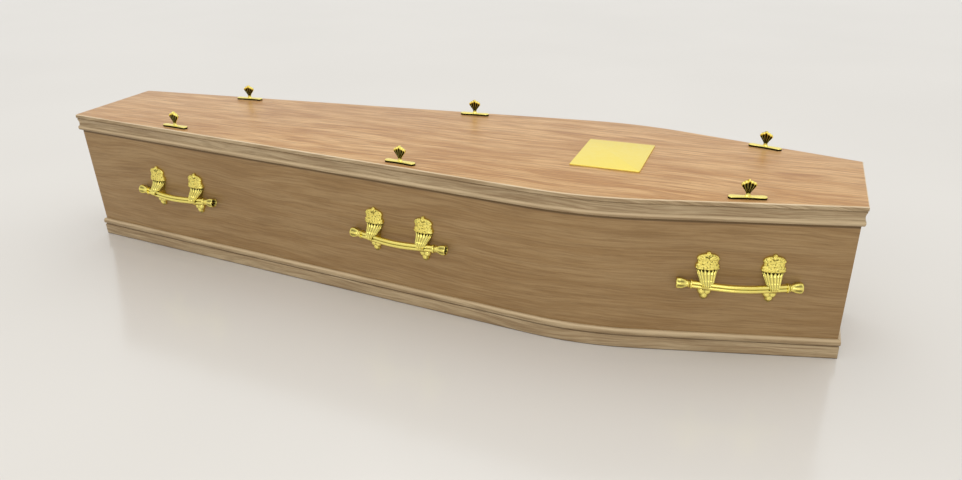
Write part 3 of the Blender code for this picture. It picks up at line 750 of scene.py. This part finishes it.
def make_bracket_mesh(name, hand):
    """Cast bracket: stippled crown with a jewel, fluted cup, bored neck and three-lobed pendant."""
    columns = 72
    width, depth = bracket_profiles()
    roundness = ((-0.012, 0.5), (-0.007, 0.12), (0.008, 0.12), (0.03, 0.7))
    rise = BRACKET_RISE - EYE_REACH
    rim = EYE_REACH + 0.345 * rise
    heights = []
    height = -BRACKET_DROP
    while height < BRACKET_RISE - 0.0001:
        heights.append(height)
        fine = abs(height - rim) < 0.0025 or height > BRACKET_RISE - 0.007 or abs(height + 0.003) < 0.0015
        height += 0.00035 if fine else 0.0008
    heights.append(BRACKET_RISE)
    jewel = Vector((0, EYE_REACH + 0.86 * rise))
    lobes = -EYE_REACH - 0.34 * (BRACKET_DROP - EYE_REACH)
    bosses = [Vector((-0.0062, lobes)), Vector((0.0062, lobes)), Vector((0, lobes - 0.0092))]
    rings = []
    marks = []
    for height in heights:
        half = smooth_through(width, height)
        deep = smooth_through(depth, height)
        crown = height > rim
        cup = min(max((rim - height) / 0.0012, 0), 1) * min(max((height + 0.003) / 0.006, 0), 1)
        swelling = 0.55 if crown else smooth_through(roundness, height)
        ring = [Vector((half, FIT, height)), Vector((-half, FIT, height))]
        row = [(0.3, 0), (0.3, 0)]
        for i in range(columns + 1):
            turn = math.pi * (i / columns - 0.5)
            swell = max(math.cos(turn), 0)
            round_share = swell ** swelling
            x = half * math.sin(turn) * (1 + 0.035 * math.sin(1000 * height) * crown * (height < jewel.y))
            v = BRACKET_EDGE + (deep - BRACKET_EDGE) * round_share
            edge = max(1 - abs(math.sin(turn)), 0)
            # shade is painted shade: in the crown's crescent and low stipple, under the rim and in the
            # flutes, between the pendant's lobes and under the eye.
            shade = 0.0
            dull = 0.0
            if crown:
                dull = min(edge / 0.06, 1)
                grain = noise.noise(Vector((x, height, 3.0 * hand)) * 330)
                grain += 0.6 * noise.noise(Vector((x, height, 5.0 * hand)) * 700)
                v += 0.0009 * grain * dull - 0.0006 * math.exp(-((edge - 0.10) / 0.035) ** 2) * swell
                away = (Vector((x, height)) - jewel).length
                v += max(0.0026 ** 2 - away ** 2, 0) ** 0.5 * 0.75
                moon = abs((Vector((x, height)) - jewel - Vector((0, 0.0012))).length - 0.0056)
                carve = math.exp(-(moon / 0.0010) ** 2) if height < jewel.y - 0.0012 else 0
                v -= 0.0012 * carve
                shade = min(0.85 * carve + max(-grain - 0.08, 0) * 1.5 * dull, 0.9)
                dull *= 0 if away < 0.0028 else 1
            else:
                flute = abs(math.cos(8 * turn))
                v -= 0.0017 * flute * cup * swell ** 0.3
                x *= 1 - 0.06 * flute * cup
                below = rim - height
                point = 0.0026 + 0.0044 * flute
                top = min(max((point - below) / 0.0012, 0), 1)
                shade = 0.80 * top + 0.60 * flute ** 4 * cup
            if height < -EYE_REACH:
                away = min((Vector((x, height)) - boss).length for boss in bosses)
                v += 0.0016 * max(1 - (away / LOBE_RADIUS) ** 2, 0) ** 0.5 - 0.0006
                shade = 0.60 * min(max(away / LOBE_RADIUS - 0.85, 0) / 0.3, 1) * min(edge / 0.2, 1)
            under_eye = math.exp(-((height + EYE_REACH) / 0.0030) ** 2)
            shade = min(shade + 0.45 * under_eye, 1)
            ring.append(Vector((x, max(v, BRACKET_EDGE * 0.6), height)))
            row.append((shade, dull))
        rings.append(ring)
        marks.append(row)
    body = bpy.data.objects.new(name + "_blank", marked_mesh(name, rings, marks))
    u = hand * BRACKET_SPACING / 2
    tool_mesh = bpy.data.meshes.new("bore")
    shape = bmesh.new()
    bmesh.ops.create_cone(shape, cap_ends=True, segments=40, radius1=BORE_RADIUS, radius2=BORE_RADIUS,
                          depth=3 * NECK_WIDTH)
    shape.to_mesh(tool_mesh)
    shape.free()
    tool = bpy.data.objects.new("bore", tool_mesh)
    tool.matrix_world = Matrix.Translation((0, bar_point(u).y, 0)) @ \
        bar_direction(u).to_track_quat("Z", "Y").to_matrix().to_4x4()
    return cut(name, body, tool, "DIFFERENCE")


def cut(name, body, tool, operation):
    """Result of one Boolean on two loose objects, which are then removed."""
    for item in (body, tool):
        bpy.context.scene.collection.objects.link(item)
    boolean = body.modifiers.new("boolean", "BOOLEAN")
    boolean.operation = operation
    boolean.solver = "EXACT"
    boolean.object = tool
    bpy.context.view_layer.update()
    graph = bpy.context.evaluated_depsgraph_get()
    made = bpy.data.meshes.new_from_object(body.evaluated_get(graph))
    made.name = name
    for item in (body, tool):
        bpy.data.objects.remove(item)
    return made


def wall_frame(x, angle, side):
    """Matrix of a handle: u along the wall, v out of it and the third axis up it."""
    face = run_point(angle, wall_inset(BAR_HEIGHT), x)
    level = Vector((-math.sin(angle), side * math.cos(angle), 0))
    out = level * math.cos(LEAN_ANGLE) - Vector((0, 0, math.sin(LEAN_ANGLE)))
    up = level * math.sin(LEAN_ANGLE) + Vector((0, 0, math.cos(LEAN_ANGLE)))
    turned = Matrix((out.cross(up), out, up)).transposed().to_4x4()
    return Matrix.Translation((face.x, side * face.y, BAR_HEIGHT)) @ turned


def make_handles(brass):
    """Three handles on each side, each a bar held by two brackets."""
    bar_mesh = make_bar_mesh()
    brackets = {hand: make_bracket_mesh("bracket", hand) for hand in (-1, 1)}
    for side_name, side in SIDES.items():
        for place, (x, angle) in HANDLE_PLACES.items():
            home = wall_frame(x, angle, side)
            stem = side_name + "_" + place
            add_piece("reeded_bar_" + stem, placed(bar_mesh, home), brass,
                      ["handle_bar_" + stem], 50)
            for hand, mesh in brackets.items():
                end = "headward" if hand * side > 0 else "footward"
                there = home @ Matrix.Translation((hand * BRACKET_SPACING / 2, 0, 0))
                add_piece("cast_bracket_" + stem + "_" + end, placed(mesh, there), brass,
                          ["handle_bracket_" + stem + "_" + end], 50)


def make_tab():
    """Waisted tab with round ends and a softly rounded top edge."""
    outline = []
    radius = TAB_WIDTH / 2
    for end in (1, -1):
        for step in range(13):
            turn = math.pi * (step / 12 - 0.5)
            x = TAB_LENGTH / 2 - radius + radius * math.cos(turn)
            outline.append((end * x, end * radius * math.sin(turn)))
        for step in range(1, 12):
            share = step / 12
            waist = TAB_WIDTH - (TAB_WIDTH - TAB_WAIST) * math.sin(math.pi * share)
            outline.append((end * (TAB_LENGTH / 2 - radius) * (1 - 2 * share), end * waist / 2))
    levels = [(0.0, FIT)]
    for step in range(6):
        turn = math.pi / 2 * step / 5
        levels.append((0.0016 * (1 - math.cos(turn)), FIT + TAB_THICKNESS - 0.0016 * (1 - math.sin(turn))))
    levels.append((0.0022, FIT + TAB_THICKNESS))
    rings = []
    marks = []
    for inset, z in levels:
        ring = []
        for x, y in outline:
            shrink = 1 - inset / (TAB_WIDTH / 2)
            core = max(min(x, TAB_LENGTH / 2 - radius), radius - TAB_LENGTH / 2)
            ring.append(Vector((core + (x - core) * shrink, y * shrink, z)))
        rings.append(ring)
        # The tab's sides below its rounded top get full painted shade.
        deep = 1.0 if z < FIT + TAB_THICKNESS - 0.0012 else 0.0
        marks.append([(deep, 0.0)] * len(ring))
    return marked_mesh("tab", rings, marks)


def make_fan():
    """Fluted fan on a narrow neck, with a scalloped top and a bead over its middle."""
    columns = 90
    rows = 60
    deep = FAN_THICKNESS / 2
    base = FIT + TAB_THICKNESS
    half_widths = [(-0.0025, 0.0064), (0.0, 0.0062), (0.0020, 0.0050), (0.0050, 0.0041), (0.0075, 0.0046)]
    half_widths += [(0.0110, 0.0068), (0.0160, 0.0105), (0.0205, 0.0138), (0.0225, 0.0148), (0.0245, 0.0150)]
    deeps = [(0.0, 1.0), (0.07, 0.90), (0.16, 0.66), (0.24, 0.66), (0.60, 0.70), (0.83, 0.74), (0.88, 0.98)]
    deeps += [(0.95, 1.0), (1.0, 0.9)]
    rings = []
    marks = []
    for step in range(rows + 1):
        share = step / rows
        front = []
        back = []
        row = []
        for i in range(columns + 1):
            place = 2 * i / columns - 1
            lobe = abs(math.cos(2.5 * math.pi * place)) ** 0.6
            knob = math.exp(-(place / 0.17) ** 2)
            top = 0.0215 + 0.0085 * max(1 - place ** 2, 0) ** 0.6 + 0.0018 * lobe + 0.0028 * knob
            z = (top + 0.0025) * share - 0.0025
            swell = max(1 - abs(place) ** 2.6, 0) ** 0.5
            thick = smooth_through(deeps, share) * deep
            thick *= max(1 - max((share - 0.92) / 0.08, 0) ** 2, 0) ** 0.5
            face = min(max((share - 0.20) / 0.08, 0), 1) * min(max((0.86 - share) / 0.03, 0), 1)
            groove = abs(math.cos(2.5 * math.pi * place))
            y = 0.0006 + (thick - 0.0006) * swell - 0.0010 * face * groove * swell
            y += 0.0009 * lobe * min(max((share - 0.86) / 0.05, 0), 1) * swell * (share < 0.97)
            x = smooth_through(half_widths, z) * place
            # Painted shade over the fluted face, left out along the ridges.
            row.append((face * (1 - 0.9 * math.exp(-(groove / 0.17) ** 2)), 0.0))
            front.append(Vector((x, -max(y, 0.0002), base + z)))
            back.append(Vector((x, max(y, 0.0002), base + z)))
        rings.append(front + list(reversed(back)))
        marks.append(row + list(reversed(row)))
    return marked_mesh("fan", rings, marks)


def carry_marks(mesh, points, name):
    """Gives each point of a joined mesh the mark of the nearest marked point, or none if it is far."""
    nearest = KDTree(len(points))
    for index, (place, value) in enumerate(points):
        nearest.insert(place, index)
    nearest.balance()
    layer = mesh.attributes.get(name) or mesh.attributes.new(name, "FLOAT", "POINT")
    values = []
    for vert in mesh.vertices:
        place, index, away = nearest.find(vert.co)
        values.append(points[index][1] if away < 0.0005 else 0.0)
    layer.data.foreach_set("value", values)
    return mesh


def make_fittings(brass):
    """Three fan fittings along each side of the lid's rim."""
    tab = bpy.data.objects.new("tab", make_tab())
    fan = bpy.data.objects.new("fan", make_fan())
    points = []
    for item in (tab, fan):
        marks = item.data.attributes["painted_shade"].data
        points += [(vert.co.copy(), marks[vert.index].value) for vert in item.data.vertices]
    mesh = carry_marks(cut("fan_fitting", tab, fan, "UNION"), points, "painted_shade")
    for side_name, side in SIDES.items():
        for place, (x, angle) in FITTING_PLACES.items():
            seat = run_point(angle, FITTING_INSET, x + FITTING_SHIFT[side_name])
            name = side_name + "_" + place
            there = Matrix.Translation((seat.x, side * seat.y, HEIGHT))
            there = there @ Matrix.Rotation(side * angle, 4, "Z")
            add_piece("fan_fitting_" + name, placed(mesh, there), brass,
                      ["lid_fitting_" + name], 45)


def make_stage():
    """Pale floor under the coffin and soft studio light around it."""
    shape = bmesh.new()
    bmesh.ops.create_grid(shape, x_segments=1, y_segments=1, size=14)
    mesh = bpy.data.meshes.new("floor")
    shape.to_mesh(mesh)
    shape.free()
    mesh.materials.append(floor_material())
    floor = bpy.data.objects.new("floor", mesh)
    floor.location = (0, 0, -0.0002)
    bpy.context.scene.collection.objects.link(floor)
    floor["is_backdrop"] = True
    world = bpy.data.worlds.new("soft_room")
    world.use_nodes = True
    tree = world.node_tree
    place = tree.nodes.new("ShaderNodeTexCoord")
    parts = tree.nodes.new("ShaderNodeSeparateXYZ")
    tree.links.new(place.outputs["Generated"], parts.inputs[0])
    behind = tree.nodes.new("ShaderNodeMapRange")
    behind.interpolation_type = "SMOOTHSTEP"
    behind.inputs["From Min"].default_value = -0.35
    behind.inputs["From Max"].default_value = 0.60
    tree.links.new(parts.outputs["Y"], behind.inputs["Value"])
    shade = tree.nodes.new("ShaderNodeMix")
    shade.data_type = "RGBA"
    shade.inputs[6].default_value = (0.80, 0.79, 0.775, 1)
    shade.inputs[7].default_value = (0.92, 0.905, 0.875, 1)
    tree.links.new(behind.outputs["Result"], shade.inputs["Factor"])
    tree.links.new(shade.outputs[2], tree.nodes["Background"].inputs["Color"])
    bpy.context.scene.world = world
    bpy.context.scene.view_settings.view_transform = "Standard"
    lights = (
        ("overhead", (0.1, 0.5, 3.4), (0, 0, 0.2), 4.4, 3.4, 18, (1.0, 0.985, 0.95)),
        ("front", (0.6, -3.4, 1.9), (0, 0, 0.1), 2.6, 1.3, 22, (1.0, 0.985, 0.95)),
    )
    for name, place, aim, width, height, power, colour in lights:
        data = bpy.data.lights.new(name, "AREA")
        data.shape = "RECTANGLE"
        data.size = width
        data.size_y = height
        data.energy = power
        data.color = colour
        lamp = bpy.data.objects.new(name, data)
        bpy.context.scene.collection.objects.link(lamp)
        lamp.location = place
        lamp.rotation_mode = "QUATERNION"
        lamp.rotation_quaternion = (Vector(aim) - Vector(place)).to_track_quat("-Z", "Y")


make_camera()
make_stage()
VENEER = wood_material("oak_veneer", (0.815, 0.515, 0.236), (0.585, 0.308, 0.107),
                       (0.355, 0.160, 0.050), 0.66)
# Darker copy of the lid's oak for the base, sides and ends: painted shade, as the upright faces take less
# light than the lid.
SHADED_SIDE_VENEER = wood_material("shaded_side_oak_veneer", (0.430, 0.282, 0.133), (0.355, 0.217, 0.092),
                            (0.235, 0.137, 0.056), 0.45)
TRIM = wood_material("oak_moulding", (0.60, 0.465, 0.285), (0.45, 0.325, 0.185), (0.25, 0.160, 0.078), 0.60)
# Pale arris material: a painted highlight along the lid's rounded top edge.
ARRIS_HIGHLIGHT = wood_material("painted_arris_highlight", (0.90, 0.76, 0.53), (0.82, 0.66, 0.43), (0.60, 0.42, 0.24), 0.30)
BRASS = brass_material("cast_brass", (1.00, 0.88, 0.24), (1.00, 0.74, 0.15), 0.15, 0.8)
PLATE = brass_material("plate_metal", (1.00, 0.84, 0.19), (0.98, 0.81, 0.17), 0.34, 0.10)
make_box(SHADED_SIDE_VENEER)
make_lid(VENEER, TRIM, ARRIS_HIGHLIGHT)
make_mouldings("rim_moulding_", "lid_moulding_", lid_moulding_section(), TRIM)
make_mouldings("skirt_moulding_", "base_moulding_", base_moulding_section(), TRIM)
make_plate(PLATE)
make_handles(BRASS)
make_fittings(BRASS)
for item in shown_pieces():
    if body_of(item) is None:
        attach(item, "root")
